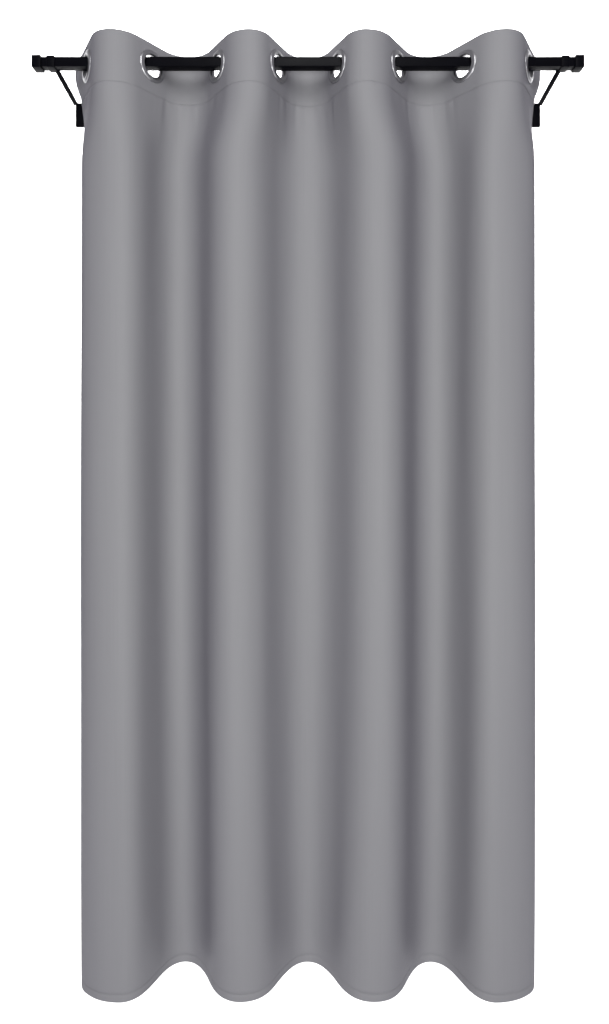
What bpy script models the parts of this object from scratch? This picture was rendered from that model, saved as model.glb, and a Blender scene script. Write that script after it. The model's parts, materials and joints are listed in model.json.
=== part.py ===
"""Eyelet-top curtain panel, hung in soft folds on an unseen pole along X.

The cloth is sewn flat, punched, and then hung: every piece of textile is modelled in the flat, where u runs
across the cloth, w out of its back and z up, and is bent along the plan curve of the folds. The eyelets are
turned pieces, clamped square to the cloth where it crosses the pole. Metres, +Z up, room side at -Y. The
origin is on the line through the eight eyelet centres, midway along it.
"""

import math

import bmesh
import bpy
from mathutils import Matrix, Vector

# Cloth, as cut and sewn
CLOTH_WIDTH = 1.320
DROP = 1.830
CLOTH_THICKNESS = 0.0008
HEADER_DEPTH = 0.102
SEAM_ALLOWANCE = 0.009
SIDE_HEM = 0.025
BOTTOM_HEM = 0.018
FIT_GAP = 0.0003

# Stiffener inside the header
STIFFENER_THICKNESS = 0.0006

# Eyelets
EYELET_COUNT = 8
EYELET_DROP = 0.045
EDGE_TO_EYELET = 0.0825
EYELET_BORE = 0.040
EYELET_FLANGE = 0.060
BARREL_WALL = 0.0010
RING_RISE = 0.0034
WASHER_THICKNESS = 0.0016
LIP_RISE = 0.0008
LIP_WIDTH = 0.0012

# How it hangs: the spans between neighbouring eyelets, from the middle one outwards, each as a share of the
# cloth that it takes up
SPAN_SHARES_FROM_MIDDLE = (0.697, 0.730, 0.767, 0.776)
FLAT_PAST_FLANGE = 0.001

# Thread
THREAD_DIAMETER = 0.0008
HEADER_STITCH_INSET = 0.004
HEM_STITCH_INSET = 0.003

# Fineness of the solids
COLUMNS_PER_FOLD = 10
RING_SIDES = 24

# Worked out from the sizes above
PITCH = (CLOTH_WIDTH - 2 * EDGE_TO_EYELET) / (EYELET_COUNT - 1)
SPANS_FROM_MIDDLE = [share * PITCH for share in SPAN_SHARES_FROM_MIDDLE]
FLAT_AT_EYELET = EYELET_FLANGE / 2 + FLAT_PAST_FLANGE
TOP = EYELET_DROP
BOTTOM = TOP - DROP
HEADER_BACK = 2 * FIT_GAP + STIFFENER_THICKNESS + 2 * CLOTH_THICKNESS
BARREL_OUTER = EYELET_BORE / 2 + BARREL_WALL
PUNCHED_RADIUS = BARREL_OUTER + FIT_GAP


def spans():
    """The eyelet spans in order from the left, mirrored about the middle one."""
    return SPANS_FROM_MIDDLE[:0:-1] + SPANS_FROM_MIDDLE


def bisect(function, low, high):
    """The argument between low and high at which a falling function crosses zero."""
    for _ in range(60):
        middle = (low + high) / 2
        if function(middle) > 0:
            low = middle
        else:
            high = middle
    return (low + high) / 2


def half_fold(angle, arc):
    """How far half a fold runs along the pole and away from it: flat past the eyelet, then one round arc."""
    radius = arc / angle
    along = FLAT_AT_EYELET * math.cos(angle) + radius * math.sin(angle)
    away = FLAT_AT_EYELET * math.sin(angle) + radius * (1 - math.cos(angle))
    return along, away


def level_arcs(near, far):
    """The arcs of a fold's two halves that leave both at the same depth, given the two crossing angles."""
    arcs = PITCH - 2 * FLAT_AT_EYELET

    def lean(arc):
        return half_fold(far, arcs - arc)[1] - half_fold(near, arc)[1]

    return bisect(lean, 1e-4, arcs - 1e-4)


def far_angle(near, span):
    """The angle at which a fold meets its next eyelet, when it leaves the last one at near."""
    arcs = PITCH - 2 * FLAT_AT_EYELET

    def too_long(far):
        arc = level_arcs(near, far)
        return half_fold(near, arc)[0] + half_fold(far, arcs - arc)[0] - span

    return bisect(too_long, 0.05, 1.5)


def crossing_angles():
    """The angle between cloth and pole at each eyelet, from the left."""
    arcs = PITCH - 2 * FLAT_AT_EYELET
    middle = bisect(lambda a: 2 * half_fold(a, arcs / 2)[0] - SPANS_FROM_MIDDLE[0], 0.05, 1.5)
    outward = [middle]
    for span in SPANS_FROM_MIDDLE[1:]:
        outward.append(far_angle(outward[-1], span))
    return outward[::-1] + outward


class PlanCurve:
    """The cloth's line seen from above, as runs of (length, turn) from the left edge."""

    def __init__(self):
        angles = crossing_angles()
        arcs = PITCH - 2 * FLAT_AT_EYELET
        straight_end = EDGE_TO_EYELET + FLAT_AT_EYELET
        side = -1
        self.runs = [(straight_end, 0.0)]
        for near, far in zip(angles, angles[1:]):
            arc = level_arcs(near, far)
            self.runs.append((arc, -side * near))
            self.runs.append((arcs - arc, -side * far))
            self.runs.append((2 * FLAT_AT_EYELET, 0.0))
            side = -side
        self.runs[-1] = (straight_end, 0.0)
        self.start_heading = -angles[0]
        at_first, _ = self.walk(EDGE_TO_EYELET, Vector((0, 0)))
        self.start = Vector((-sum(spans()) / 2, 0)) - at_first

    def walk(self, u, start):
        """The point at u along the cloth, and the cloth's heading there."""
        point, heading, left = start.copy(), self.start_heading, u
        last = len(self.runs) - 1
        for i, (length, turn) in enumerate(self.runs):
            step = left if i == last else min(left, length)
            bend = turn * step / length
            chord = step if abs(bend) < 1e-9 else step * math.sin(bend / 2) / (bend / 2)
            middle = heading + bend / 2
            point += chord * Vector((math.cos(middle), math.sin(middle)))
            heading += bend
            left -= step
            if left <= 0 and i < last:
                break
        return point, heading

    def place(self, u, w, z):
        """A point of the flat cloth, hung: w is how far it lies behind the cloth's front face."""
        point, heading = self.walk(u, self.start)
        behind = Vector((-math.sin(heading), math.cos(heading)))
        x, y = point + w * behind
        return Vector((x, y, z))


def clear_scene():
    for thing in list(bpy.data.objects):
        bpy.data.objects.remove(thing, do_unlink=True)


def material(name, colour, roughness, metallic=0.0):
    made = bpy.data.materials.new(name)
    made.use_nodes = True
    shader = made.node_tree.nodes["Principled BSDF"]
    shader.inputs["Base Color"].default_value = (*colour, 1.0)
    shader.inputs["Roughness"].default_value = roughness
    shader.inputs["Metallic"].default_value = metallic
    return made


def add_object(name, mesh_maker, finish):
    mesh = bpy.data.meshes.new(name)
    mesh_maker.to_mesh(mesh)
    mesh_maker.free()
    mesh.materials.append(finish)
    made = bpy.data.objects.new(name, mesh)
    bpy.context.scene.collection.objects.link(made)
    return made


def eyelet_u(number):
    return EDGE_TO_EYELET + number * PITCH


def slab(bm, outline, u_low, u_high):
    """A (w, z) outline drawn along u."""
    ends = [[bm.verts.new((u, w, z)) for w, z in outline] for u in (u_low, u_high)]
    first = bm.faces.new(ends[0])
    last = bm.faces.new(list(reversed(ends[1])))
    count = len(outline)
    for i in range(count):
        j = (i + 1) % count
        bm.faces.new((ends[0][j], ends[0][i], ends[1][i], ends[1][j]))
    bmesh.ops.recalc_face_normals(bm, faces=bm.faces[:])
    return first, last


def flat_object(name, outline, u_low, u_high, finish):
    bm = bmesh.new()
    slab(bm, outline, u_low, u_high)
    return add_object(name, bm, finish)


def punch(number):
    """The round tool that makes one eyelet hole in the flat cloth."""
    bm = bmesh.new()
    bmesh.ops.create_cone(
        bm,
        cap_ends=True,
        segments=RING_SIDES,
        radius1=PUNCHED_RADIUS,
        radius2=PUNCHED_RADIUS,
        depth=8 * HEADER_BACK,
        matrix=Matrix.Translation((eyelet_u(number), 0, 0)) @ Matrix.Rotation(math.pi / 2, 4, "X"),
    )
    tool = add_object(f"punch_{number + 1}", bm, bpy.data.materials["tool"])
    tool.hide_render = True
    tool.display_type = "WIRE"
    return tool


def combine(base, others, operation):
    """Joins all the other shapes to base, or cuts them all from it, in one Boolean."""
    group = bpy.data.collections.new(f"{base.name} {operation.lower()}")
    bpy.context.scene.collection.children.link(group)
    for other in others:
        group.objects.link(other)
    modifier = base.modifiers.new(group.name, "BOOLEAN")
    modifier.operation = operation
    modifier.solver = "EXACT"
    modifier.operand_type = "COLLECTION"
    modifier.collection = group
    bpy.context.view_layer.update()
    graph = bpy.context.evaluated_depsgraph_get()
    base.data = bpy.data.meshes.new_from_object(base.evaluated_get(graph))
    base.modifiers.clear()
    bpy.data.collections.remove(group)


def hang(piece, curve):
    """Cuts a flat textile into columns at the folds' fineness, and bends it along the plan curve."""
    bm = bmesh.new()
    bm.from_mesh(piece.data)
    # the cloth stays flat past each eyelet's flange, and its columns are even between those lines
    arcs = PITCH - 2 * FLAT_AT_EYELET
    for number in range(EYELET_COUNT - 1):
        start = eyelet_u(number) + FLAT_AT_EYELET
        for i in range(COLUMNS_PER_FOLD + 1):
            u = start + arcs * i / COLUMNS_PER_FOLD
            bmesh.ops.bisect_plane(
                bm,
                geom=bm.verts[:] + bm.edges[:] + bm.faces[:],
                dist=1e-7,
                plane_co=(u, 0, 0),
                plane_no=(1, 0, 0),
            )
    bmesh.ops.triangulate(bm, faces=bm.faces[:])
    for vertex in bm.verts:
        vertex.co = curve.place(*vertex.co)
    bmesh.ops.recalc_face_normals(bm, faces=bm.faces[:])
    bm.to_mesh(piece.data)
    bm.free()


def make_cloth(curve, finish, tools):
    """One length of cloth: its top is turned down behind as an open-ended pocket, and three edges are hemmed."""
    t = CLOTH_THICKNESS
    header_foot = TOP - HEADER_DEPTH
    pocket_top, pocket_foot = TOP - t, header_foot + t
    back = HEADER_BACK
    # front layer, over the top, down the back, and back into the front layer along the header stitching
    sheet = [(0, BOTTOM), (0, TOP), (back, TOP), (back, header_foot), (t, header_foot), (t, BOTTOM)]
    pocket = [(t, pocket_foot), (t, pocket_top), (back - t, pocket_top), (back - t, pocket_foot)]
    hem = [(t / 2, BOTTOM), (t / 2, BOTTOM + BOTTOM_HEM), (2 * t, BOTTOM + BOTTOM_HEM), (2 * t, BOTTOM)]
    side = [(t / 2, BOTTOM), (t / 2, header_foot + t / 2), (2 * t, header_foot + t / 2), (2 * t, BOTTOM)]
    cloth = flat_object("panel_cloth", sheet, 0, CLOTH_WIDTH, finish)
    inside = flat_object("pocket_tool", pocket, -SIDE_HEM, CLOTH_WIDTH + SIDE_HEM, finish)
    hems = [
        flat_object("bottom_hem_tool", hem, 0, CLOTH_WIDTH, finish),
        flat_object("left_hem_tool", side, 0, SIDE_HEM, finish),
        flat_object("right_hem_tool", side, CLOTH_WIDTH - SIDE_HEM, CLOTH_WIDTH, finish),
    ]
    combine(cloth, hems, "UNION")
    combine(cloth, [inside, *tools], "DIFFERENCE")
    for used in (inside, *hems):
        bpy.data.objects.remove(used, do_unlink=True)
    hang(cloth, curve)


def make_stiffener(curve, finish, tools):
    """The buckram strip that keeps the header upright, loose in its pocket and punched with it."""
    near = CLOTH_THICKNESS + FIT_GAP
    far = near + STIFFENER_THICKNESS
    top = TOP - CLOTH_THICKNESS - FIT_GAP
    foot = TOP - HEADER_DEPTH + SEAM_ALLOWANCE
    outline = [(near, foot), (near, top), (far, top), (far, foot)]
    strip = flat_object("header_stiffener", outline, SIDE_HEM / 2, CLOTH_WIDTH - SIDE_HEM / 2, finish)
    combine(strip, tools, "DIFFERENCE")
    hang(strip, curve)


def thread_outline(w, z):
    """A thread's section, lying against the front face of the cloth."""
    half = THREAD_DIAMETER / 2
    return [(w - half, z), (w, z + half), (w + half, z), (w, z - half)]


def make_stitching(curve, finish):
    """The four rows of thread that hold the header and the hems, just proud of the front face."""
    w = -FIT_GAP - THREAD_DIAMETER / 2
    header_z = TOP - HEADER_DEPTH + HEADER_STITCH_INSET
    hem_z = BOTTOM + BOTTOM_HEM - HEM_STITCH_INSET
    for name, z in (("header_stitching", header_z), ("bottom_hem_stitching", hem_z)):
        row = flat_object(name, thread_outline(w, z), FIT_GAP, CLOTH_WIDTH - FIT_GAP, finish)
        hang(row, curve)
    clear = THREAD_DIAMETER / 2 + FIT_GAP
    low, high = hem_z + clear, header_z - clear
    left = SIDE_HEM - HEM_STITCH_INSET
    half = THREAD_DIAMETER / 2
    for name, u in (("left_side_hem_stitching", left), ("right_side_hem_stitching", CLOTH_WIDTH - left)):
        outline = [(w - half, low), (w - half, high), (w + half, high), (w + half, low)]
        row = flat_object(name, outline, u - half, u + half, finish)
        hang(row, curve)


def turned(name, profile, finish):
    """A closed (radius, depth) profile turned about the eyelet's own axis, which is its local Y."""
    bm = bmesh.new()
    ring = [bm.verts.new((radius, depth, 0)) for radius, depth in profile]
    edges = [bm.edges.new((ring[i], ring[(i + 1) % len(ring)])) for i in range(len(ring))]
    bmesh.ops.spin(
        bm,
        geom=ring + edges,
        cent=(0, 0, 0),
        axis=(0, 1, 0),
        angle=2 * math.pi,
        steps=RING_SIDES,
        use_merge=True,
    )
    bmesh.ops.remove_doubles(bm, verts=bm.verts[:], dist=1e-6)
    bmesh.ops.recalc_face_normals(bm, faces=bm.faces[:])
    piece = add_object(name, bm, finish)
    piece.data.shade_smooth()
    piece.data.set_sharp_from_angle(angle=math.radians(35))
    return piece


def front_ring_profile():
    """Domed flange in front of the cloth, and the barrel through it, rolled out over the washer as a lip."""
    bore, flange = EYELET_BORE / 2, EYELET_FLANGE / 2
    seat = -FIT_GAP
    lip_foot = HEADER_BACK + 2 * FIT_GAP + WASHER_THICKNESS
    barrel_end = lip_foot + LIP_RISE
    width = flange - bore
    return [
        (flange, seat),
        (flange, seat - 0.3 * RING_RISE),
        (flange - 0.18 * width, seat - 0.8 * RING_RISE),
        (flange - 0.42 * width, seat - RING_RISE),
        (bore + 0.28 * width, seat - 0.85 * RING_RISE),
        (bore + 0.08 * width, seat - 0.35 * RING_RISE),
        (bore, seat),
        (bore, barrel_end),
        (BARREL_OUTER + LIP_WIDTH, barrel_end),
        (BARREL_OUTER + LIP_WIDTH, lip_foot),
        (BARREL_OUTER, lip_foot),
        (BARREL_OUTER, seat),
    ]


def washer_profile():
    """Flat back plate, seated behind the header and clear of the barrel it is closed on."""
    near = HEADER_BACK + FIT_GAP
    far = near + WASHER_THICKNESS
    hole, rim = BARREL_OUTER + FIT_GAP, EYELET_FLANGE / 2
    bevel = WASHER_THICKNESS / 3
    return [(hole, near), (hole, far), (rim - bevel, far), (rim, far - bevel), (rim, near)]


def make_eyelets(curve, finish):
    for number in range(EYELET_COUNT):
        point, heading = curve.walk(eyelet_u(number), curve.start)
        for half, profile in (("front", front_ring_profile()), ("back", washer_profile())):
            piece = turned(f"eyelet_{number + 1}_{half}", profile, finish)
            piece.location = (*point, 0)
            piece.rotation_euler = (0, 0, heading)


def main():
    clear_scene()
    cloth = material("grey cloth", (0.30, 0.30, 0.315), 0.75)
    buckram = material("buckram", (0.80, 0.79, 0.76), 0.9)
    thread = material("grey thread", (0.26, 0.26, 0.275), 0.6)
    metal = material("nickel", (0.74, 0.74, 0.75), 0.2, 1.0)
    material("tool", (1.0, 0.5, 0.0), 0.5)
    curve = PlanCurve()
    tools = [punch(number) for number in range(EYELET_COUNT)]
    make_cloth(curve, cloth, tools)
    make_stiffener(curve, buckram, tools)
    for tool in tools:
        bpy.data.objects.remove(tool, do_unlink=True)
    make_stitching(curve, thread)
    make_eyelets(curve, metal)


main()
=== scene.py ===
"""Grey eyelet curtain panel, drawn across its pole: the looks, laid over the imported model.

The cloth is one sheet with its four edges turned over. Each of its points has a place s across the cloth, z up
it and w behind its front face, and Hang carries that place onto the folds. Everything is in metres, in the
model's own frame: +X along the pole, -Y towards the room and +Z up.
"""

import json
import math

import bmesh
import bpy
from bpy.props import FloatProperty, FloatVectorProperty, IntProperty, PointerProperty
from mathutils import Matrix, Vector, noise


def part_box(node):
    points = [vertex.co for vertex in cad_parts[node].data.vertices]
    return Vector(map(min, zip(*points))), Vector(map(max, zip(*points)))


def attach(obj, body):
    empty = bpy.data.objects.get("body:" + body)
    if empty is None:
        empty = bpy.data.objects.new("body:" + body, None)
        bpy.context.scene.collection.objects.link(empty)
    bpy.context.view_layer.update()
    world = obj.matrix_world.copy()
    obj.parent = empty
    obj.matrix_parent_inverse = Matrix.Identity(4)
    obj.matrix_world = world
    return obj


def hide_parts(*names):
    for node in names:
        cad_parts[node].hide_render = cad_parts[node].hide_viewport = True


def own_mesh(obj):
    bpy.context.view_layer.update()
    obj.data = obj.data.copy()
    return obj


bl_info = {
    "name": "Eyelet curtain panel",
    "version": (1, 0, 0),
    "blender": (4, 5, 0),
    "location": "View3D > Sidebar > Curtain",
    "description": "Builds an eyelet curtain panel, hung in soft folds on a square pole",
    "category": "Add Mesh",
}

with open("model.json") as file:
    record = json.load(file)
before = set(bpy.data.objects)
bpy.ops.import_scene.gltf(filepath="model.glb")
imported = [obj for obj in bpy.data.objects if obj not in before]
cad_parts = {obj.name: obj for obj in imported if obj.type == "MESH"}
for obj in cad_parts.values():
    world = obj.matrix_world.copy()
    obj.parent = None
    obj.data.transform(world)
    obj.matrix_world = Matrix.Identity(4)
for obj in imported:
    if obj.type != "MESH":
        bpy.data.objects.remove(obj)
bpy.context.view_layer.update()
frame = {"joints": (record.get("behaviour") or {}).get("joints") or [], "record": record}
CLOTH_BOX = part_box("panel_cloth")
TOP, BOTTOM = CLOTH_BOX[1].z, CLOTH_BOX[0].z
EYELETS = 8
DRAW = next(joint for joint in frame["joints"] if joint["name"] == "draw")
FOLLOWS = {row["joint"]: row["ratio"] for row in frame["record"]["behaviour"]["couplings"]}


class CurtainCloth(bpy.types.PropertyGroup):
    """The cloth as it is cut, sewn and hung"""

    width: FloatProperty(name="Width", description="Finished width, laid flat", default=1.32, unit="LENGTH")
    header: FloatProperty(name="Header", description="Depth of the top hem", default=0.102, unit="LENGTH")
    side_hem: FloatProperty(name="Side hem", description="Width of each side hem", default=0.025, unit="LENGTH")
    hem: FloatProperty(name="Bottom hem", description="Depth of the bottom hem", default=0.018, unit="LENGTH")
    thickness: FloatProperty(
        name="Thickness", description="Thickness of one layer", default=0.0006, precision=5, unit="LENGTH"
    )
    edge: FloatProperty(
        name="Edge", description="From the side of the cloth to the first eyelet", default=0.0825, unit="LENGTH"
    )
    column: FloatProperty(
        name="Column", description="Spacing of the mesh across the cloth", default=0.005, unit="LENGTH"
    )
    tone: FloatVectorProperty(
        name="Colour", description="Colour of the cloth", subtype="COLOR", default=(0.290, 0.290, 0.298)
    )


class CurtainEyelets(bpy.types.PropertyGroup):
    """The metal rings in the header"""

    bore: FloatProperty(name="Bore", description="Clear width of the hole", default=0.040, unit="LENGTH")
    rise: FloatProperty(
        name="Rise", description="How far the ring stands off the cloth", default=0.0034, precision=4, unit="LENGTH"
    )
    sides: IntProperty(name="Sides", description="Sides of each turned ring", default=72)
    tone: FloatVectorProperty(
        name="Colour", description="Colour of the metal", subtype="COLOR", default=(0.46, 0.46, 0.47)
    )


class CurtainStitches(bpy.types.PropertyGroup):
    """The rows of thread"""

    length: FloatProperty(name="Stitch", description="Length of one stitch", default=0.0031, unit="LENGTH")
    gap: FloatProperty(name="Gap", description="Space between stitches", default=0.0007, precision=4, unit="LENGTH")
    thread: FloatProperty(
        name="Thread", description="Thickness of the thread", default=0.0005, precision=5, unit="LENGTH"
    )
    tone: FloatVectorProperty(
        name="Colour", description="Colour of the thread", subtype="COLOR", default=(0.25, 0.25, 0.262)
    )


class CurtainStage(bpy.types.PropertyGroup):
    """The pole, the room and the lights, which aren't part of the curtain"""

    pole: FloatProperty(name="Pole", description="Width of the square pole", default=0.0187, unit="LENGTH")
    pole_length: FloatProperty(name="Pole length", description="Between its end caps", default=1.038, unit="LENGTH")
    distance: FloatProperty(
        name="Camera distance", description="From the camera to the pole", default=1.292, unit="LENGTH"
    )
    height: FloatProperty(name="Camera height", description="Above the pole", default=-0.70, unit="LENGTH")
    floor: FloatProperty(name="Floor", description="Height of the floor", default=-2.5, unit="LENGTH")


# ---------------------------------------------------------------- the folds, seen from above

STEP = 0.001
HALF_SAMPLES = 24
# The eyelets' angles hold down to the header's foot, and the cloth below hangs free. At its sides, past the last
# eyelet, it swings back sooner.
SWING_TOP, SWING_FOOT = -0.050, -0.200
SIDE_SWING_TOP, SIDE_SWING_FOOT = 0.015, -0.110
SIDE_SWING_REACH = 0.055
# The end eyelets turn a little further than the rest, because nothing beyond holds them back.
END_EYELET_TURN = math.radians(7)
HEADER_SIDE_EASE = math.radians(9)
# The free cloth's folds, along the pole, from the middle one outwards. The last is the front fold at each side, and
# only the half up to its crest is like the others.
BODY_SPANS = (0.1380, 0.1300, 0.1070, 0.1060)
HEM_SPANS = (0.1140, 0.1345, 0.1060, 0.1160)
FREE_DEPTH = 0.0472
HEM_LEAN = -0.0090
# Past its last crest the free cloth turns back: (share of the way to its side, heading).
SIDE_HEADINGS = (
    (0.0, 0.0),
    (0.12, math.radians(9)),
    (0.42, math.radians(37)),
    (0.54, math.radians(74)),
    (0.66, math.radians(92)),
    (1.0, math.radians(95)),
)


def ease(value):
    """A smooth step from 0 to 1."""
    value = min(max(value, 0.0), 1.0)
    return value * value * (3 - 2 * value)


def bisect(function, low, high):
    """Where a falling function crosses zero between low and high."""
    for _ in range(40):
        middle = (low + high) / 2
        if function(middle) > 0:
            low = middle
        else:
            high = middle
    return (low + high) / 2


def pitch_of(cloth):
    """The cloth between one eyelet and the next."""
    return (cloth.width - 2 * cloth.edge) / (EYELETS - 1)


def eyelet_places():
    """(x, angle to the pole) of each eyelet. The angle, and the x of the first and last, are read off the flat back
    washer, which is thin and square to its eyelet. Those between stand at the share of the row by which their joints
    follow the last one, so that they keep to the cloth as it gathers."""
    places = []
    for number in range(1, EYELETS + 1):
        low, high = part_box(f"eyelet_{number}_back")
        size = high - low
        flange = size.z
        thin = bisect(lambda t: spare_depth(size, flange, t), 0.0, 0.01)
        angle = math.atan2(flange * size.y - thin * size.x, flange * size.x - thin * size.y)
        side = 1 if number % 2 else -1
        behind = (low.y + high.y) / 2 / math.cos(angle)
        x = (low.x + high.x) / 2 - side * behind * math.sin(angle)
        places.append((x, angle))
    first, last = places[0][0], places[-1][0]
    for number in range(2, EYELETS):
        share = FOLLOWS[f"eyelet_{number}_slide"]
        places[number - 1] = (first + (last - first) * share, places[number - 1][1])
    return places


def spare_depth(size, flange, thin):
    """How much thicker than thin a washer is that fills a box of this size when it is turned about Z."""
    cos = (flange * size.x - thin * size.y) / (flange**2 - thin**2)
    sin = (flange * size.y - thin * size.x) / (flange**2 - thin**2)
    return cos**2 + sin**2 - 1


def turned_places(places):
    """The eyelets' places, with the end ones turned further."""
    first, *inner, last = places
    return [(first[0], first[1] + END_EYELET_TURN), *inner, (last[0], last[1] + END_EYELET_TURN)]


def header_headings(cloth, places):
    """The cloth's heading along the header: straight past each eyelet's flange, and one round arc either side of
    each crest, with the crest where both arcs reach the same depth."""
    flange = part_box("eyelet_1_back")
    flat = (flange[1].z - flange[0].z) / 2 + 0.001
    pitch = pitch_of(cloth)
    arcs = pitch - 2 * flat
    knots = [(0.0, -places[0][1])]
    side = -1
    for number, ((_, near), (_, far)) in enumerate(zip(places, places[1:])):
        s = cloth.edge + number * pitch

        def lean(arc, near=near, far=far):
            return depth_of(far, arcs - arc, flat) - depth_of(near, arc, flat)

        crest = bisect(lean, 1e-4, arcs - 1e-4)
        knots += [(s + flat, side * near), (s + flat + crest, 0.0), (s + pitch - flat, -side * far)]
        side = -side
    knots.append((cloth.width, side * places[-1][1]))
    return knots


def depth_of(angle, arc, flat):
    """How far half a fold stands off the pole: flat by the eyelet, then one round arc."""
    return flat * math.sin(angle) + arc / angle * (1 - math.cos(angle))


def heading_between(knots, s):
    for (s0, h0), (s1, h1) in zip(knots, knots[1:]):
        if s <= s1:
            return h0 + (h1 - h0) * (s - s0) / (s1 - s0)
    return knots[-1][1]


def half_means(angle, fullness):
    """The mean cosine and sine of the heading over the half fold between a crossing and its crest."""
    cosines, sines = 0.0, 0.0
    for i in range(HALF_SAMPLES):
        heading = angle * swell(math.cos(math.pi / 2 * (i + 0.5) / HALF_SAMPLES), fullness)
        cosines += math.cos(heading) / HALF_SAMPLES
        sines += math.sin(heading) / HALF_SAMPLES
    return cosines, sines


def swell(wave, fullness):
    """Bends a cosine's middle: a positive fullness gives a tighter crest, a negative one a flatter crest."""
    return wave * (1 + fullness * (1 - wave * wave))


def steepest(span, depth):
    """The heading at the crossings of one fold this long and this deep, whose heading is a cosine."""

    def shallow(angle):
        cosines, sines = half_means(angle, 0.0)
        return depth - span / 2 * sines / cosines

    return bisect(shallow, 0.1, 1.6)


def free_headings(cloth, spans_from_middle):
    """The heading of cloth that hangs free, with its folds as long along the pole as these spans. Every fold is
    equally deep, so the cloth between two crossings follows from the span."""
    spans = [*spans_from_middle[:0:-1], *spans_from_middle]
    steep = [steepest(span, FREE_DEPTH) for span in spans]
    arcs = [span / half_means(angle, 0.0)[0] for span, angle in zip(spans, steep)]
    angles = [steep[0], *((a + b) / 2 for a, b in zip(steep, steep[1:])), steep[-1]]
    folds = []
    s, side = (cloth.width - sum(arcs)) / 2, -1
    for span, arc, near, far in zip(spans, arcs, angles, angles[1:]):
        fullness = bisect(lambda q: fold_span(arc, near, far, q) - span, -0.9, 0.9)
        share = near_share(near, far, fullness)
        folds.append((s, s + share * arc, s + arc, side * near, side * far, fullness))
        s, side = s + arc, -side
    return folds


def near_share(near, far, fullness):
    """The near half's share of a fold's cloth, which leaves both halves equally deep."""
    near_depth, far_depth = half_means(near, fullness)[1], half_means(far, fullness)[1]
    return far_depth / (near_depth + far_depth)


def fold_span(arc, near, far, fullness):
    share = near_share(near, far, fullness)
    return arc * (share * half_means(near, fullness)[0] + (1 - share) * half_means(far, fullness)[0])


def side_heading(share):
    """The heading past the last crest, at this share of the way to the cloth's side."""
    for (t0, h0), (t1, h1) in zip(SIDE_HEADINGS, SIDE_HEADINGS[1:]):
        if share <= t1:
            return h0 + (h1 - h0) * (share - t0) / (t1 - t0)
    return SIDE_HEADINGS[-1][1]


def free_heading_at(folds, s, width):
    first_crest, last_crest = folds[0][1], folds[-1][1]
    if s < first_crest:
        return -side_heading((first_crest - s) / first_crest)
    if s > last_crest:
        return side_heading((s - last_crest) / (width - last_crest))
    for start, crest, end, near, far, fullness in folds:
        if start <= s <= crest:
            return near * swell(math.cos(math.pi / 2 * (s - start) / (crest - start)), fullness)
        if crest < s <= end:
            return -far * swell(math.cos(math.pi / 2 * (end - s) / (end - crest)), fullness)
    raise ValueError(f"no fold holds the place {s}")


def plan_line(cloth, heading_at, stretch_at):
    """Points every STEP along the cloth, from its left side, which is at the origin until the line is moved."""
    count = round(cloth.width / STEP)
    points = [Vector((0.0, 0.0))]
    for i in range(count):
        s = (i + 0.5) * STEP
        heading = heading_at(s)
        points.append(points[-1] + STEP * stretch_at(s) * Vector((math.cos(heading), math.sin(heading))))
    return points


def header_line(cloth, places):
    """The header's plan. Its folds are stretched a little to reach the eyelets, whose places are fixed."""
    eased = turned_places(places)
    knots = header_headings(cloth, eased)
    pitch = pitch_of(cloth)
    spans = []
    for number in range(EYELETS - 1):
        start = cloth.edge + number * pitch
        count = round(pitch / STEP)
        spans.append(sum(math.cos(heading_between(knots, start + (i + 0.5) * STEP)) for i in range(count)) * STEP)
    wanted = [after[0] - before[0] for before, after in zip(places, places[1:])]
    stretches = [want / span for want, span in zip(wanted, spans)]

    def stretch_at(s):
        number = int((s - cloth.edge) // pitch)
        return stretches[number] if 0 <= number < len(stretches) else 1.0

    def heading_at(s):
        past = max(cloth.edge - s, s - (cloth.width - cloth.edge), 0.0) / cloth.edge
        heading = heading_between(knots, s)
        return heading - math.copysign(HEADER_SIDE_EASE * ease((past - 0.35) / 0.65), heading)

    points = plan_line(cloth, heading_at, stretch_at)
    shift = Vector((places[0][0], 0.0)) - points[round(cloth.edge / STEP)]
    return [point + shift for point in points]


def free_line(cloth, spans):
    """The free cloth's plan, with the middle fold's crossings on the pole's line."""
    folds = free_headings(cloth, spans)
    points = plan_line(cloth, lambda s: free_heading_at(folds, s, cloth.width), lambda s: 1.0)
    middle = len(folds) // 2
    near, far = (points[round(s / STEP)] for s in (folds[middle][0], folds[middle][2]))
    shift = Vector((-(near.x + far.x) / 2, -(near.y + far.y) / 2))
    return [point + shift for point in points]


class Hang:
    """Carries a place on the flat cloth onto the folds."""

    def __init__(self, cloth):
        places = eyelet_places()
        self.first_x = places[0][0]
        self.cloth = cloth
        self.levels = [header_line(cloth, places), free_line(cloth, BODY_SPANS), free_line(cloth, HEM_SPANS)]

    def line(self, s, z):
        """The plan point at s, at the height z."""
        place = min(max(s / STEP, 0.0), len(self.levels[0]) - 1.001)
        index, part = int(place), place - int(place)
        header, body, hem = (level[index].lerp(level[index + 1], part) for level in self.levels)
        down = max(0.0, (SWING_TOP - z) / (SWING_TOP - BOTTOM))
        free = body.lerp(hem, down**5)
        free.y += HEM_LEAN * down
        side = ease((SIDE_SWING_REACH - min(s, self.cloth.width - s)) / SIDE_SWING_REACH)
        top = SWING_TOP + (SIDE_SWING_TOP - SWING_TOP) * side
        foot = SWING_FOOT + (SIDE_SWING_FOOT - SWING_FOOT) * side
        return header.lerp(free, ease((top - z) / (top - foot)))

    def heading(self, s, z):
        reach = self.line(s + 2 * STEP, z) - self.line(s - 2 * STEP, z)
        return math.atan2(reach.y, reach.x)

    def point(self, s, z, w):
        """The hung point of a place on the cloth, w behind its front face."""
        heading = self.heading(s, z)
        line = self.line(s, z)
        return Vector((line.x - w * math.sin(heading), line.y + w * math.cos(heading), z))


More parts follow.
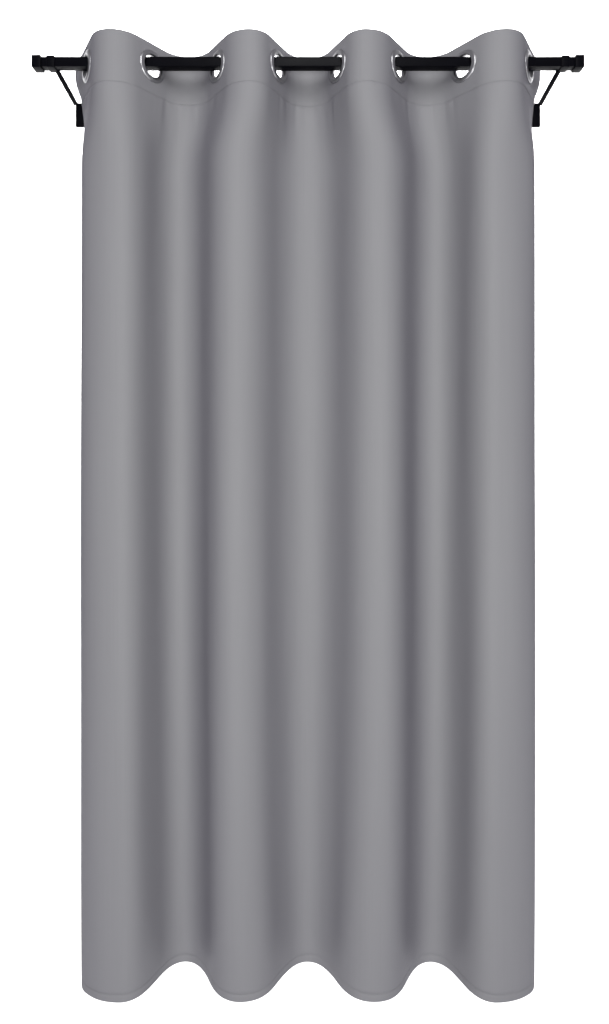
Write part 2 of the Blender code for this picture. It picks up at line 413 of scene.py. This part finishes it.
# ---------------------------------------------------------------- mesh helpers


def link(name, bm, *finishes):
    """An object from a finished bmesh, shaded smooth, with these materials."""
    mesh = bpy.data.meshes.new(name)
    bm.to_mesh(mesh)
    bm.free()
    for finish in finishes:
        mesh.materials.append(finish)
    mesh.shade_smooth()
    made = bpy.data.objects.new(name, mesh)
    bpy.context.scene.collection.objects.link(made)
    return made


def thicken(obj, thickness, offset=0.0):
    solid = obj.modifiers.new("thickness", "SOLIDIFY")
    solid.thickness = thickness
    solid.offset = offset
    solid.use_even_offset = False
    return obj


def box_between(bm, start, end, width, height, bevel):
    """A bevelled bar from start to end, that wide across and that high."""
    start, end = Vector(start), Vector(end)
    along = end - start
    turn = along.to_track_quat("X", "Z").to_matrix().to_4x4()
    place = Matrix.Translation((start + end) / 2) @ turn @ Matrix.Diagonal((along.length, width, height, 1))
    made = bmesh.ops.create_cube(bm, size=1.0, matrix=place)
    edges = {edge for vertex in made["verts"] for edge in vertex.link_edges}
    bmesh.ops.bevel(
        bm,
        geom=list(edges),
        offset=bevel,
        offset_type="OFFSET",
        affect="EDGES",
        segments=3,
        profile=0.5,
        material=-1,
        clamp_overlap=True,
    )


def turned(bm, profile, sides, place):
    """A closed (radius, depth) profile spun about its own Y axis, and set in place."""
    ring = [bm.verts.new((radius, depth, 0)) for radius, depth in profile]
    edges = [bm.edges.new((a, b)) for a, b in zip(ring, ring[1:] + ring[:1])]
    bmesh.ops.spin(
        bm, geom=ring + edges, cent=(0, 0, 0), axis=(0, 1, 0), angle=2 * math.pi, steps=sides, use_merge=True
    )
    bmesh.ops.remove_doubles(bm, verts=bm.verts[:], dist=1e-6)
    bmesh.ops.recalc_face_normals(bm, faces=bm.faces[:])
    bmesh.ops.transform(bm, matrix=place, verts=bm.verts[:])


def crumple(obj):
    """Gives a piece its own copy of its mesh. The draw's travel and the eyelets' places are worked out here but not
    used."""
    travel = max(abs(limit) for limit in DRAW["range_m"])
    places = eyelet_places()
    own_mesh(obj)


# ---------------------------------------------------------------- materials


class Nodes:
    """Short names for building one material's nodes."""

    def __init__(self, name):
        self.material = bpy.data.materials.new(name)
        self.material.use_nodes = True
        self.tree = self.material.node_tree
        self.shader = self.tree.nodes["Principled BSDF"]

    def add(self, kind, **settings):
        node = self.tree.nodes.new(kind)
        for key, value in settings.items():
            if key in node.inputs:
                node.inputs[key].default_value = value
            else:
                setattr(node, key, value)
        return node

    def join(self, output, target):
        self.tree.links.new(output, target)
        return output

    def math(self, operation, first, second):
        node = self.add("ShaderNodeMath", operation=operation)
        for socket, value in zip(node.inputs, (first, second)):
            if isinstance(value, (int, float)):
                socket.default_value = value
            else:
                self.join(value, socket)
        return node.outputs[0]

    def mapped(self, output, scale, rotation=0.0):
        node = self.add("ShaderNodeMapping")
        self.join(node_output(self, output), node.inputs["Vector"])
        node.inputs["Scale"].default_value = scale
        node.inputs["Rotation"].default_value = (0, 0, rotation)
        return node.outputs[0]

    def noise(self, vector, scale, detail=2.0):
        node = self.add("ShaderNodeTexNoise", Scale=scale, Detail=detail)
        self.join(vector, node.inputs["Vector"])
        return node.outputs["Fac"]

    def threads(self, vector, direction, per_metre):
        """Round ridges across UV, that many to the metre."""
        node = self.add("ShaderNodeTexWave", bands_direction=direction, wave_profile="SIN")
        # one band of the wave texture is pi / 10 of its scaled coordinate
        node.inputs["Scale"].default_value = per_metre * math.pi / 10
        self.join(vector, node.inputs["Vector"])
        return node.outputs["Fac"]

    def bump(self, height, distance, strength=1.0, onto=None):
        node = self.add("ShaderNodeBump")
        node.inputs["Distance"].default_value = distance
        node.inputs["Strength"].default_value = strength
        self.join(height, node.inputs["Height"])
        if onto is not None:
            self.join(onto, node.inputs["Normal"])
        return node.outputs[0]

    def ramp(self, value, low, high):
        """A colour between low and high, by value."""
        node = self.add("ShaderNodeMix", data_type="RGBA")
        self.join(value, node.inputs["Factor"])
        node.inputs[6].default_value = (*low, 1)
        node.inputs[7].default_value = (*high, 1)
        return node.outputs[2]

    def multiply(self, first, second):
        """One colour times another."""
        node = self.add("ShaderNodeMix", data_type="RGBA", blend_type="MULTIPLY")
        node.inputs["Factor"].default_value = 1.0
        self.join(first, node.inputs[6])
        self.join(second, node.inputs[7])
        return node.outputs[2]


def node_output(nodes, which):
    """UV or Object coordinates."""
    found = [node for node in nodes.tree.nodes if node.bl_idname == "ShaderNodeTexCoord"]
    node = found[0] if found else nodes.add("ShaderNodeTexCoord")
    return node.outputs[which]


def shaded(colour, factor):
    return tuple(min(part * factor, 1.0) for part in colour)


def cloth_material(tone):
    """Close-woven satin polyester: fine crossing threads, faint slubs down the cloth and a soft sheen."""
    nodes = Nodes("woven satin, grey")
    uv = node_output(nodes, "UV")
    warp = nodes.threads(uv, "X", 1600)
    weft = nodes.threads(uv, "Y", 1100)
    weave = nodes.math("MAXIMUM", warp, weft)
    slubs = nodes.noise(nodes.mapped("UV", (420, 3.5, 1)), 1.0, 3.0)
    clouds = nodes.noise(nodes.mapped("UV", (7, 2.2, 1)), 1.0, 2.0)
    shade = nodes.math("ADD", nodes.math("MULTIPLY", slubs, 0.55), nodes.math("MULTIPLY", clouds, 0.45))
    colour = nodes.ramp(shade, shaded(tone, 0.93), shaded(tone, 1.07))
    woven = nodes.multiply(colour, nodes.ramp(weave, (0.92, 0.92, 0.92), (1.02, 1.02, 1.02)))
    # painted shade: the colour turns darker and cooler where the cloth is seen edge-on, standing in for the shade
    # and the cool fill light on the folds' sides
    facing = nodes.add("ShaderNodeLayerWeight", Blend=0.5).outputs["Facing"]
    across = nodes.ramp(facing, (1, 1, 1), (0.62, 0.60, 0.68))
    nodes.join(nodes.multiply(woven, across), nodes.shader.inputs["Base Color"])
    rough = nodes.math("ADD", nodes.math("MULTIPLY", slubs, 0.12), 0.52)
    nodes.join(rough, nodes.shader.inputs["Roughness"])
    fine = nodes.bump(weave, 0.00012, 0.6)
    soft = nodes.bump(clouds, 0.0012, 0.25, onto=fine)
    nodes.join(soft, nodes.shader.inputs["Normal"])
    nodes.shader.inputs["Specular IOR Level"].default_value = 0.35
    return nodes.material


def buckram_material():
    """Stiff open-woven interlining, off-white."""
    nodes = Nodes("buckram, off-white")
    uv = node_output(nodes, "UV")
    weave = nodes.math("MULTIPLY", nodes.threads(uv, "X", 700), nodes.threads(uv, "Y", 700))
    nodes.join(nodes.ramp(weave, (0.70, 0.69, 0.65), (0.84, 0.83, 0.80)), nodes.shader.inputs["Base Color"])
    nodes.join(nodes.bump(weave, 0.0002, 0.7), nodes.shader.inputs["Normal"])
    nodes.shader.inputs["Roughness"].default_value = 0.85
    return nodes.material


def thread_material(tone):
    """Twisted polyester thread."""
    nodes = Nodes("sewing thread, grey")
    twist = nodes.add("ShaderNodeTexWave", bands_direction="DIAGONAL", wave_profile="SIN")
    twist.inputs["Scale"].default_value = 900
    nodes.join(node_output(nodes, "Object"), twist.inputs["Vector"])
    height = twist.outputs["Fac"]
    nodes.join(nodes.ramp(height, shaded(tone, 0.8), shaded(tone, 1.1)), nodes.shader.inputs["Base Color"])
    nodes.join(nodes.bump(height, 0.0001, 0.5), nodes.shader.inputs["Normal"])
    nodes.shader.inputs["Roughness"].default_value = 0.5
    return nodes.material


def metal_material(name, tone, rough):
    """Plated metal with a faint grain and finger marks in its polish."""
    nodes = Nodes(name)
    marks = nodes.noise(nodes.mapped("Object", (60, 60, 60)), 1.0, 4.0)
    grain = nodes.noise(nodes.mapped("Object", (2500, 2500, 2500)), 1.0, 1.0)
    polish = nodes.math("ADD", nodes.math("MULTIPLY", marks, 0.10), rough)
    nodes.join(polish, nodes.shader.inputs["Roughness"])
    nodes.join(nodes.ramp(marks, shaded(tone, 0.94), shaded(tone, 1.04)), nodes.shader.inputs["Base Color"])
    nodes.join(nodes.bump(grain, 0.00002, 0.4), nodes.shader.inputs["Normal"])
    nodes.shader.inputs["Metallic"].default_value = 1.0
    return nodes.material


def lacquer_material():
    """Black lacquered steel, for the pole and its brackets."""
    nodes = Nodes("lacquer, black")
    marks = nodes.noise(nodes.mapped("Object", (40, 40, 40)), 1.0, 3.0)
    colour = nodes.ramp(marks, (0.0020, 0.0020, 0.0032), (0.0030, 0.0030, 0.0052))
    nodes.join(colour, nodes.shader.inputs["Base Color"])
    nodes.join(nodes.math("ADD", nodes.math("MULTIPLY", marks, 0.1), 0.30), nodes.shader.inputs["Roughness"])
    nodes.join(nodes.bump(marks, 0.0001, 0.3), nodes.shader.inputs["Normal"])
    nodes.shader.inputs["Specular IOR Level"].default_value = 0.05
    return nodes.material


def pale_material():
    nodes = Nodes("studio paper, white")
    grain = nodes.noise(nodes.mapped("Object", (300, 300, 300)), 1.0, 2.0)
    nodes.join(nodes.ramp(grain, (0.93, 0.93, 0.93), (0.95, 0.95, 0.95)), nodes.shader.inputs["Base Color"])
    nodes.shader.inputs["Roughness"].default_value = 0.9
    nodes.shader.inputs["Specular IOR Level"].default_value = 0.1
    return nodes.material


# ---------------------------------------------------------------- the sewn sheet

FRONT = 0.0003  # the front layer's middle, behind the front face
HEADER_BACK = 0.0025  # the back layer's middle at the header
SIDE_TURN = 0.00075  # between a layer and the side hem turned behind it
HEM_BACK = 0.0024
HEM_RAW_BACK = 0.0016  # the raw edge of the bottom hem, pinched by its stitches
HEADER_RAW_BACK = 0.00115  # the raw edge of the header, pinched by its stitches
FOLD_STEPS = 4
HOLE_RADIUS = 0.0214
SEAM_RISE, HEM_SEAM_DROP = 0.004, 0.003  # of the stitches, from the header's foot and from the hem's top
GROOVE_DEPTH, GROOVE_WIDTH = 0.0007, 0.0020
PUCKER_DEPTH = 0.0034


def edge_steps(start, end, spacing):
    """Even steps from start to end, about that far apart."""
    count = max(1, round(abs(end - start) / spacing))
    return [start + (end - start) * i / count for i in range(count)]


def up_the_cloth(cloth):
    """(z, w, way, r) of each row, from the raw edge of the bottom hem, down behind it, up the front, over the top
    and down the back of the header. way is 1 where the cloth faces the room, and -1 where it is turned over."""
    header_foot = TOP - cloth.header
    rows = []
    hem_radius, top_radius = (HEM_BACK - FRONT) / 2, (HEADER_BACK - FRONT) / 2
    for z in edge_steps(BOTTOM + cloth.hem, BOTTOM + hem_radius, 0.003):
        rows.append((z, HEM_BACK - (HEM_BACK - HEM_RAW_BACK) * ease((z - BOTTOM - cloth.hem + 0.008) / 0.006), -1))
    for i in range(FOLD_STEPS):
        turn = math.pi * i / FOLD_STEPS
        rows.append(
            (
                BOTTOM + hem_radius * (1 - math.sin(turn)),
                FRONT + hem_radius * (1 + math.cos(turn)),
                -math.cos(turn),
            )
        )
    for low, high, spacing in (
        (BOTTOM + hem_radius, BOTTOM + 0.024, 0.0025),
        (BOTTOM + 0.024, BOTTOM + 0.080, 0.008),
        (BOTTOM + 0.080, header_foot - 0.110, 0.026),
        (header_foot - 0.110, header_foot - 0.012, 0.0075),
        (header_foot - 0.012, header_foot + 0.012, 0.002),
        (header_foot + 0.012, TOP - top_radius, 0.0048),
    ):
        rows += [(z, FRONT, 1) for z in edge_steps(low, high, spacing)]
    for i in range(FOLD_STEPS):
        turn = math.pi * i / FOLD_STEPS
        rows.append(
            (
                TOP - top_radius * (1 - math.sin(turn)),
                FRONT + top_radius * (1 - math.cos(turn)),
                math.cos(turn),
            )
        )
    for low, high, spacing in (
        (TOP - top_radius, header_foot + 0.012, 0.0048),
        (header_foot + 0.012, header_foot, 0.002),
    ):
        for z in edge_steps(low, high, spacing):
            pinch = ease((header_foot + 0.011 - z) / 0.007)
            rows.append((z, HEADER_BACK - (HEADER_BACK - HEADER_RAW_BACK) * pinch, -1))
    rows.append((header_foot, HEADER_RAW_BACK, -1))
    climbed, placed = 0.0, []
    for i, (z, w, way) in enumerate(rows):
        if i:
            climbed += math.hypot(z - rows[i - 1][0], w - rows[i - 1][1])
        placed.append((z, w, way, climbed))
    return placed


def across_the_cloth(cloth):
    """(s, turn, t) of each column, from the raw edge of the left side hem, over the side and across to the other
    raw edge. turn is how far behind its layer the column lies."""
    radius = SIDE_TURN / 2
    turned_in = [(s, SIDE_TURN) for s in edge_steps(cloth.side_hem, radius, cloth.column)]
    for i in range(FOLD_STEPS):
        angle = math.pi * i / FOLD_STEPS
        turned_in.append((radius * (1 - math.sin(angle)), radius * (1 + math.cos(angle))))
    middle = [(s, 0.0) for s in edge_steps(radius, cloth.width - radius, cloth.column)]
    right = [(cloth.width - s, turn) for s, turn in reversed(turned_in)]
    columns = [*turned_in, *middle, (cloth.width - radius, 0.0), *right]
    crossed, placed = 0.0, []
    for i, (s, turn) in enumerate(columns):
        if i:
            crossed += math.hypot(s - columns[i - 1][0], turn - columns[i - 1][1])
        placed.append((s, turn, crossed))
    return placed


def wrinkle(hang, s, z, header_foot, hem_top):
    """How far the cloth stands off its smooth folds: a groove along each row of stitches, puckers hanging from the
    header's foot, deepest at the back of the folds, and slow waves down the free cloth."""
    seam = header_foot + SEAM_RISE
    groove = -GROOVE_DEPTH * math.exp(-(((z - seam) / GROOVE_WIDTH) ** 2))
    groove -= GROOVE_DEPTH * math.exp(-(((z - hem_top) / GROOVE_WIDTH) ** 2))
    below = seam - z
    fade = math.exp(-below / 0.030) * ease(below / 0.006) if below > 0 else 0.35 * math.exp(below / 0.008)
    back = ease((hang.line(s, min(z, seam)).y + 0.010) / 0.035)
    ripple = noise.noise(Vector((s * 120, z * 9, 3.7))) + 0.5 * noise.noise(Vector((s * 200, z * 16, 8.1)))
    pucker = PUCKER_DEPTH * fade * (0.10 + 0.90 * back) * ripple
    free = ease((header_foot - z) / 0.12)
    slow = 0.0016 * free * noise.noise(Vector((s * 9.0, z * 1.3, 1.9)))
    slow += 0.0007 * free * noise.noise(Vector((s * 26.0, z * 2.1, 5.3)))
    return -(groove + pucker + slow)


def eyelet_s(cloth):
    """Where along the cloth each eyelet is."""
    pitch = pitch_of(cloth)
    return [cloth.edge + number * pitch for number in range(EYELETS)]


def punch(bm, cloth, flat_place):
    """Opens the eyelet holes in a flat mesh: the vertices just inside each circle move out onto it, and the rest
    of what is inside goes. flat_place gives a vertex's (s, z)."""
    for centre in eyelet_s(cloth):
        inside = {}
        for vertex in bm.verts:
            s, z = flat_place(vertex)
            reach = math.hypot(s - centre, z)
            if reach < HOLE_RADIUS:
                inside[vertex] = (s - centre, z, reach)
        rim = [v for v in inside if any(edge.other_vert(v) not in inside for edge in v.link_edges)]
        gone = set(inside) - set(rim)
        faces = [face for face in bm.faces if all(v in inside for v in face.verts)]
        yield centre, [(v, inside[v]) for v in rim]
        bmesh.ops.delete(bm, geom=faces, context="FACES_ONLY")
        bmesh.ops.delete(bm, geom=[v for v in gone if v.is_valid], context="VERTS")
        loose = [edge for edge in bm.edges if not edge.link_faces]
        bmesh.ops.delete(bm, geom=loose, context="EDGES")


def sewn_sheet(name, cloth, hang, rows, columns, finish, wrinkled):
    """A grid of cloth through these rows and columns, with its holes, hung in its folds."""
    bm = bmesh.new()
    bmesh.ops.create_grid(
        bm, x_segments=len(columns) - 1, y_segments=len(rows) - 1, size=0.5, calc_uvs=True
    )
    bm.verts.ensure_lookup_table()
    uv = bm.loops.layers.uv.verify()
    wide, high = len(columns) - 1, len(rows) - 1
    places = {}
    for vertex in bm.verts:
        column = round((vertex.co.x + 0.5) * wide)
        row = round((vertex.co.y + 0.5) * high)
        s, turn, t = columns[column]
        z, w, way, r = rows[row]
        places[vertex] = [s, z, w + way * turn, way]
        for loop in vertex.link_loops:
            loop[uv].uv = (t, r)
    for centre, rim in punch(bm, cloth, lambda vertex: places[vertex][:2]):
        for vertex, (across, up, reach) in rim:
            stretch = HOLE_RADIUS / max(reach, 1e-6)
            places[vertex][0] = centre + across * stretch
            places[vertex][1] = up * stretch
    header_foot, hem_top = TOP - cloth.header, BOTTOM + cloth.hem - HEM_SEAM_DROP
    for vertex in bm.verts:
        s, z, w, way = places[vertex]
        if wrinkled:
            w += wrinkle(hang, s, z, header_foot, hem_top)
        vertex.co = hang.point(s, z, w)
    bmesh.ops.recalc_face_normals(bm, faces=bm.faces[:])
    return link(name, bm, finish)


def stitch_row(name, hang, settings, places, along, finish):
    """Short round stitches lying on the cloth's front face, each dipping into it at both ends. places are their
    (s, z) middles, and along says whether a row runs across the cloth or up it."""
    bm = bmesh.new()
    half, radius = settings.length / 2, settings.thread / 2
    for s, z in places:
        ahead = (half, 0.0) if along else (0.0, half)
        start = hang.point(s - ahead[0], z - ahead[1], -radius * 0.6)
        end = hang.point(s + ahead[0], z + ahead[1], -radius * 0.6)
        heading = end - start
        out = hang.point(s, z, -1.0) - hang.point(s, z, 0.0)
        turn = heading.to_track_quat("Z", "Y").to_matrix().to_4x4()
        middle = (start + end) / 2 + out * radius * 0.4
        size = Matrix.Diagonal((radius, radius, half, 1))
        bmesh.ops.create_uvsphere(
            bm, u_segments=6, v_segments=5, radius=1.0, matrix=Matrix.Translation(middle) @ turn @ size
        )
    return link(name, bm, finish)


# ---------------------------------------------------------------- operators


class CURTAIN_OT_cloth(bpy.types.Operator):
    """Hang the cloth and the stiffener that stands in its header"""

    bl_idname = "curtain.cloth"
    bl_label = "Cloth and stiffener"

    def execute(self, context):
        cloth = context.scene.curtain_cloth
        hang = Hang(cloth)
        panel = sewn_sheet(
            "panel", cloth, hang, up_the_cloth(cloth), across_the_cloth(cloth), cloth_material(cloth.tone), True
        )
        thicken(panel, cloth.thickness)
        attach(panel, "panel")
        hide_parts("panel_cloth")
        crumple(panel)
        low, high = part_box("header_stiffener")
        middle = (FRONT + HEADER_BACK) / 2
        rows = [(z, middle, 1, z) for z in [*edge_steps(low.z, high.z, 0.0046), high.z]]
        inset = cloth.side_hem + 0.002
        steps = [*edge_steps(inset, cloth.width - inset, 0.0052), cloth.width - inset]
        columns = [(s, 0.0, s) for s in steps]
        strip = sewn_sheet("stiffener", cloth, hang, rows, columns, buckram_material(), False)
        thicken(strip, cloth.thickness)
        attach(strip, "panel")
        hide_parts("header_stiffener")
        crumple(strip)
        return {"FINISHED"}


class CURTAIN_OT_stitches(bpy.types.Operator):
    """Sew the rows of thread along the header and the hems"""

    bl_idname = "curtain.stitches"
    bl_label = "Stitching"

    def execute(self, context):
        cloth, settings = context.scene.curtain_cloth, context.scene.curtain_stitches
        hang = Hang(cloth)
        thread = thread_material(settings.tone)
        every = settings.length + settings.gap
        seam = TOP - cloth.header + 0.004
        hem = BOTTOM + cloth.hem - 0.003
        side = cloth.side_hem - 0.003
        across = edge_steps(every, cloth.width - every, every)
        up = edge_steps(hem + every, seam - every, every)
        rows = (
            ("header_seam", "header_stitching", [(s, seam) for s in across], True),
            ("bottom_hem_seam", "bottom_hem_stitching", [(s, hem) for s in across], True),
            ("left_hem_seam", "left_side_hem_stitching", [(side, z) for z in up], False),
            ("right_hem_seam", "right_side_hem_stitching", [(cloth.width - side, z) for z in up], False),
        )
        for name, node, places, along in rows:
            row = stitch_row(name, hang, settings, places, along, thread)
            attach(row, "panel")
            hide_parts(node)
            crumple(row)
        return {"FINISHED"}


class CURTAIN_OT_eyelets(bpy.types.Operator):
    """Turn the eight eyelets and close them on the header"""

    bl_idname = "curtain.eyelets"
    bl_label = "Eyelets"

    def execute(self, context):
        settings = context.scene.curtain_eyelets
        metal = metal_material("nickel plate, satin", settings.tone, 0.26)
        for number, (x, angle) in enumerate(turned_places(eyelet_places()), start=1):
            heading = -angle if number % 2 else angle
            place = Matrix.Translation((x, 0, 0)) @ Matrix.Rotation(heading, 4, "Z")
            body = "panel" if number == 1 else f"eyelet_{number}"
            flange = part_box(f"eyelet_{number}_front")[1].z
            for half, profile in (
                ("ring", ring_profile(settings.bore / 2, flange, settings.rise)),
                ("washer", washer_profile(settings.bore / 2, flange)),
            ):
                bm = bmesh.new()
                turned(bm, profile, settings.sides, place)
                piece = link(f"eyelet_{number}_{half}", bm, metal)
                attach(piece, body)
                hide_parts(f"eyelet_{number}_{'front' if half == 'ring' else 'back'}")
                crumple(piece)
        return {"FINISHED"}


def arc_points(centre, radii, start, end, count):
    """Points on part of an ellipse in (radius, depth)."""
    points = []
    for i in range(count + 1):
        angle = math.radians(start + (end - start) * i / count)
        points.append((centre[0] + radii[0] * math.cos(angle), centre[1] + radii[1] * math.sin(angle)))
    return points


def ring_profile(bore, flange, rise):
    """Outer edge rolled to the cloth, a full round crown, a smooth throat into the barrel, and the lip rolled
    over the washer behind."""
    seat, wall = -0.0001, 0.0008
    barrel_end = 0.0052
    crown = bore + 0.26 * (flange - bore)
    return [
        *arc_points((flange - 0.0004, seat - 0.0004), (0.0004, 0.0004), 90, -90, 5),
        *arc_points((crown, seat - 0.0008), (flange - 0.0004 - crown, rise - 0.0008), -8, -90, 9),
        *arc_points((crown, seat), (crown - bore, rise), -99, -180, 10),
        (bore, 0.0012),
        (bore, 0.0030),
        *arc_points((bore + 0.0016, barrel_end - 0.0008), (0.0016, 0.0013), 180, 40, 8),
        (bore + 0.0022, barrel_end - 0.0008),
        (bore + wall + 0.0002, barrel_end - 0.0012),
        (bore + wall, 0.0030),
        (bore + wall, seat + 0.0002),
    ]


def washer_profile(bore, flange):
    """A thin plate behind the header, dished in under the barrel's lip, with its rim rolled down."""
    near, thick = 0.0030, 0.0007
    hole = bore + 0.0011
    return [
        (hole, near),
        (bore + 0.0040, near),
        (bore + 0.0060, near),
        (flange - 0.0016, near),
        (flange - 0.0007, near - 0.0001),
        *arc_points((flange - 0.0004, near + 0.0003), (0.0004, 0.0004), -60, 90, 4),
        (flange - 0.0014, near + thick + 0.0002),
        (flange - 0.0030, near + thick + 0.0008),
        (bore + 0.0058, near + thick + 0.0008),
        (bore + 0.0042, near + thick + 0.0001),
        (hole, near + thick),
    ]


class CURTAIN_OT_stage(bpy.types.Operator):
    """Set the pole, the room, the lights and the camera"""

    bl_idname = "curtain.stage"
    bl_label = "Pole, room, lights and camera"

    def execute(self, context):
        stage = context.scene.curtain_stage
        set_pole(stage)
        set_room(stage)
        set_lights(context)
        set_camera(context, stage)
        return {"FINISHED"}


def set_pole(stage):
    """A square black pole with square end caps, held by two wall brackets."""
    black = lacquer_material()
    half, level = stage.pole_length / 2, 0.0049
    bm = bmesh.new()
    box_between(bm, (-half, 0, level), (half, 0, level), stage.pole, stage.pole, 0.0012)
    pole = link("pole", bm, black)
    for side, name in ((-1, "left"), (1, "right")):
        bm = bmesh.new()
        box_between(bm, (side * half, 0, level), (side * (half + 0.018), 0, level), 0.024, 0.024, 0.0015)
        link(f"pole_cap_{name}", bm, black)
        bm = bmesh.new()
        box_between(bm, (side * 0.493, 0, level), (side * 0.5085, 0, level), 0.0225, 0.0225, 0.001)
        foot = (side * 0.4815, 0.079, -0.037)
        box_between(bm, (side * 0.494, 0.008, level - 0.009), foot, 0.009, 0.005, 0.001)
        box_between(bm, (side * 0.472, 0.082, -0.033), (side * 0.472, 0.082, -0.082), 0.006, 0.022, 0.001)
        link(f"pole_bracket_{name}", bm, black)


def set_room(stage):
    """A pale floor that sweeps up into the wall behind."""
    depth, radius, width, height = 2.2, 1.2, 14.0, 6.0
    bm = bmesh.new()
    line = [(-7.0, stage.floor)]
    for i in range(13):
        turn = math.pi / 2 * i / 12
        line.append((depth - radius * (1 - math.sin(turn)), stage.floor + radius * (1 - math.cos(turn))))
    line.append((depth, stage.floor + height))
    edge = [bm.verts.new((-width / 2, y, z)) for y, z in line]
    edges = [bm.edges.new(pair) for pair in zip(edge, edge[1:])]
    swept = bmesh.ops.extrude_edge_only(bm, edges=edges)["geom"]
    moved = [item for item in swept if isinstance(item, bmesh.types.BMVert)]
    bmesh.ops.translate(bm, verts=moved, vec=(width, 0, 0))
    bmesh.ops.recalc_face_normals(bm, faces=bm.faces[:])
    sweep = link("room_sweep", bm, pale_material())
    sweep.visible_diffuse = False


def add_area(context, name, place, aim, size, power, mirrored=True):
    """A rectangular light, which metal mirrors or not."""
    light = bpy.data.lights.new(name, "AREA")
    light.shape = "RECTANGLE"
    light.size, light.size_y = size
    light.energy = power
    made = bpy.data.objects.new(name, light)
    made.location = place
    made.rotation_euler = (Vector(aim) - Vector(place)).to_track_quat("-Z", "Y").to_euler()
    made.visible_glossy = mirrored
    context.scene.collection.objects.link(made)


def set_lights(context):
    """A high and a low soft light in front, both narrow so that the folds' sides stay in shade, and the rest
    behind, which light only the room."""
    add_area(context, "high_light", (0, -2.9, 1.45), (0, 0, -0.35), (1.0, 2.3), 62)
    add_area(context, "low_light", (0, -3.2, -1.45), (0, 0, -1.3), (1.0, 1.0), 48)
    for side in (-1, 1):
        place, aim = (side * 1.75, 0.6, -0.2), (side * 1.6, 2.2, -0.2)
        add_area(context, f"wall_light_{side}", place, aim, (0.8, 3.4), 60, mirrored=False)
    add_area(context, "floor_light", (0, 1.7, 1.9), (0, 1.5, -2.5), (3.4, 0.8), 300, mirrored=False)
    world = bpy.data.worlds.new("studio")
    world.use_nodes = True
    world.node_tree.nodes["Background"].inputs["Color"].default_value = (0.94, 0.92, 1, 1)
    world.node_tree.nodes["Background"].inputs["Strength"].default_value = 0.29
    context.scene.world = world
    context.scene.view_settings.view_transform = "Standard"


def set_camera(context, stage):
    camera = bpy.data.cameras.new("camera")
    camera.sensor_width = 36
    camera.lens = 23.2
    camera.shift_x = -0.0034
    camera.shift_y = -0.086
    made = bpy.data.objects.new("camera", camera)
    made.location = (0, -stage.distance, stage.height)
    made.rotation_euler = (math.pi / 2, 0, 0)
    context.scene.collection.objects.link(made)
    context.scene.camera = made


class CURTAIN_PT_panel(bpy.types.Panel):
    """Builds the curtain piece by piece"""

    bl_label = "Eyelet curtain"
    bl_space_type = "VIEW_3D"
    bl_region_type = "UI"
    bl_category = "Curtain"

    def draw(self, context):
        for group in ("curtain_cloth", "curtain_eyelets", "curtain_stitches", "curtain_stage"):
            settings = getattr(context.scene, group)
            box = self.layout.box()
            for name in settings.bl_rna.properties.keys():
                if name not in ("rna_type", "name"):
                    box.prop(settings, name)
        for operator in OPERATORS:
            self.layout.operator(operator.bl_idname)


GROUPS = {
    "curtain_cloth": CurtainCloth,
    "curtain_eyelets": CurtainEyelets,
    "curtain_stitches": CurtainStitches,
    "curtain_stage": CurtainStage,
}
OPERATORS = (CURTAIN_OT_cloth, CURTAIN_OT_eyelets, CURTAIN_OT_stitches, CURTAIN_OT_stage)


def register():
    for cls in (*GROUPS.values(), *OPERATORS, CURTAIN_PT_panel):
        bpy.utils.register_class(cls)
    for name, group in GROUPS.items():
        setattr(bpy.types.Scene, name, PointerProperty(type=group))


def unregister():
    for name in GROUPS:
        delattr(bpy.types.Scene, name)
    for cls in (CURTAIN_PT_panel, *reversed(OPERATORS), *reversed(list(GROUPS.values()))):
        bpy.utils.unregister_class(cls)


def main():
    register()
    bpy.ops.curtain.cloth()
    bpy.ops.curtain.eyelets()
    bpy.ops.curtain.stitches()
    bpy.ops.curtain.stage()


if __name__ == "__main__":
    main()
